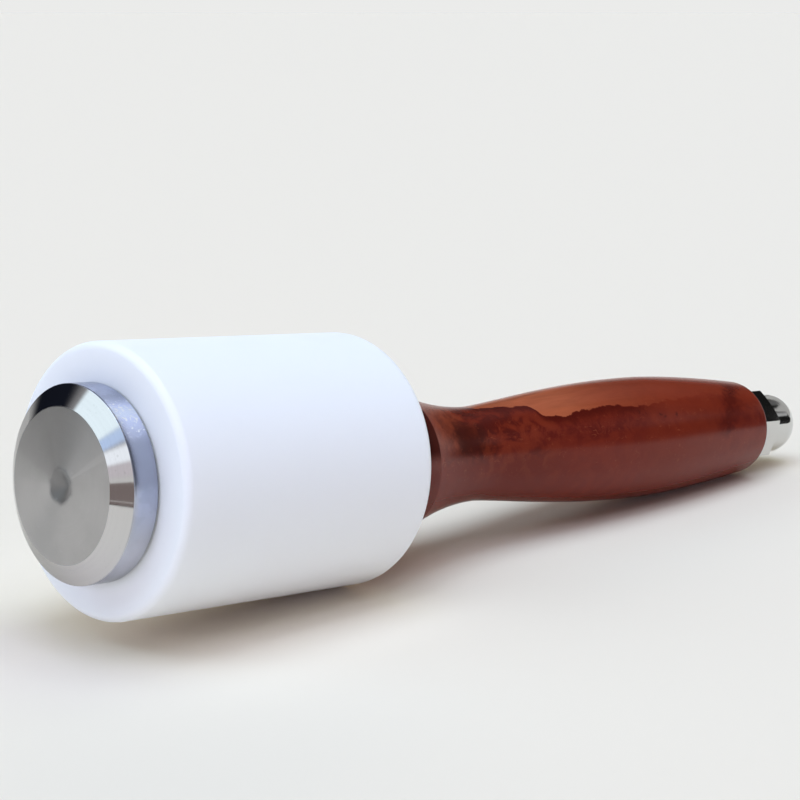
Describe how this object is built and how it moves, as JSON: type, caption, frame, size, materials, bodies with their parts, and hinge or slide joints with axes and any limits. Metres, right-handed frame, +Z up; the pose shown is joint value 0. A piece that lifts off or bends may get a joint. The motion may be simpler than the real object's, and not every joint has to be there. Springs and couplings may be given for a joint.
{
  "type": "leather carving mallet",
  "caption": "Round mallet for leather carving: a white nylon head with a steel striking disc on a swelled wooden handle, clamped by a hidden rod and a cap nut.",
  "frame": {"origin": "on the bench, below the middle of the mallet as it lies on its side", "axes": "+X from the head towards the nut, +Y across the mallet, +Z up from the bench; the mallet's own axis drops by 5.1 degrees along +X"},
  "size_m": [0.2228, 0.0498, 0.0546],
  "materials": {
    "turned_steel": "satin",
    "nylon": "satin",
    "rod_steel": "satin",
    "lacquered_wood": "gloss",
    "chrome": "polished"
  },
  "bodies": {
    "root": {"striking_disc": "turned_steel", "nylon_head": "nylon", "through_rod": "rod_steel", "wooden_handle": "lacquered_wood", "cap_nut": "chrome"}
  },
  "joints": []
}
